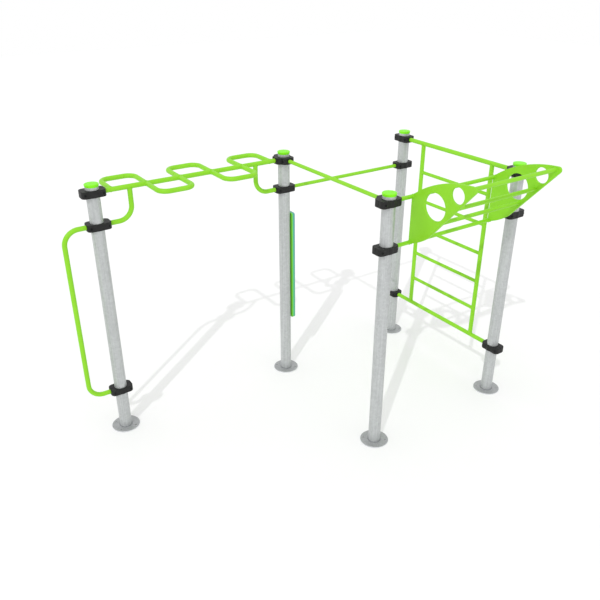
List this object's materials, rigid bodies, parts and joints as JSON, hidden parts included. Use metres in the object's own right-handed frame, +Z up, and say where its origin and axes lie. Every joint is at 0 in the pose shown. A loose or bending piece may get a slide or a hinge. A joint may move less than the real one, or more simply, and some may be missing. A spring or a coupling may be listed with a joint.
{
  "type": "climbing frame",
  "caption": "Fixed climbing frame on round posts: overhead wave monkey bars, a rung ladder, a side pole and a projecting fin-sided net of rungs, held by two-part clamps.",
  "frame": {"origin": "on the ground, under the middle of the whole frame's box", "axes": "+X runs along the wave bars from the side pole to the ladder, +Z up, and the fins project towards -Y"},
  "size_m": [3.754, 2.462, 2.526],
  "materials": {
    "post_galvanised": "hot-dip galvanised, satin",
    "plate_galvanised": "hot-dip galvanised, dull",
    "cap_green": "moulded, satin gloss",
    "clamp_black": "black powder coat, fine texture",
    "tube_green": "lime green powder coat, satin",
    "sign_plastic": "two-tone sheet, satin",
    "fasteners": "black oxide"
  },
  "bodies": {
    "root": {"bar_bc": "tube_green", "bar_bd": "tube_green", "base_plate_a": "plate_galvanised", "base_plate_b": "plate_galvanised", "base_plate_c": "plate_galvanised", "base_plate_d": "plate_galvanised", "base_plate_e": "plate_galvanised", "brace_a": "tube_green", "brace_b": "tube_green", "cap_a": "cap_green", "cap_b": "cap_green", "cap_c": "cap_green", "cap_d": "cap_green", "cap_e": "cap_green", "clamp_a1_front": "clamp_black", "clamp_a1_rear": "clamp_black", "clamp_a2_front": "clamp_black", "clamp_a2_rear": "clamp_black", "clamp_a3_front": "clamp_black", "clamp_a3_rear": "clamp_black", "clamp_b1_front": "clamp_black", "clamp_b1_rear": "clamp_black", "clamp_b2_front": "clamp_black", "clamp_b2_rear": "clamp_black", "clamp_bolts": "fasteners", "clamp_c1_front": "clamp_black", "clamp_c1_rear": "clamp_black", "clamp_c2_front": "clamp_black", "clamp_c2_rear": "clamp_black", "clamp_d1_front": "clamp_black", "clamp_d1_rear": "clamp_black", "clamp_d2_front": "clamp_black", "clamp_d2_rear": "clamp_black", "clamp_d3_front": "clamp_black", "clamp_d3_rear": "clamp_black", "clamp_e1_front": "clamp_black", "clamp_e1_rear": "clamp_black", "clamp_e2_front": "clamp_black", "clamp_e2_rear": "clamp_black", "clamp_e3_front": "clamp_black", "clamp_e3_rear": "clamp_black", "fin_far": "tube_green", "fin_near": "tube_green", "ladder_bottom_bar": "tube_green", "ladder_rungs": "tube_green", "ladder_stiles": "tube_green", "ladder_top_bar": "tube_green", "net_bottom_bar": "tube_green", "net_rungs": "tube_green", "net_top_bar": "tube_green", "post_a": "post_galvanised", "post_b": "post_galvanised", "post_c": "post_galvanised", "post_d": "post_galvanised", "post_e": "post_galvanised", "side_pole": "tube_green", "sign_board": "sign_plastic", "sign_screws": "fasteners", "spine": "tube_green", "wave_loops": "tube_green"}
  },
  "joints": []
}
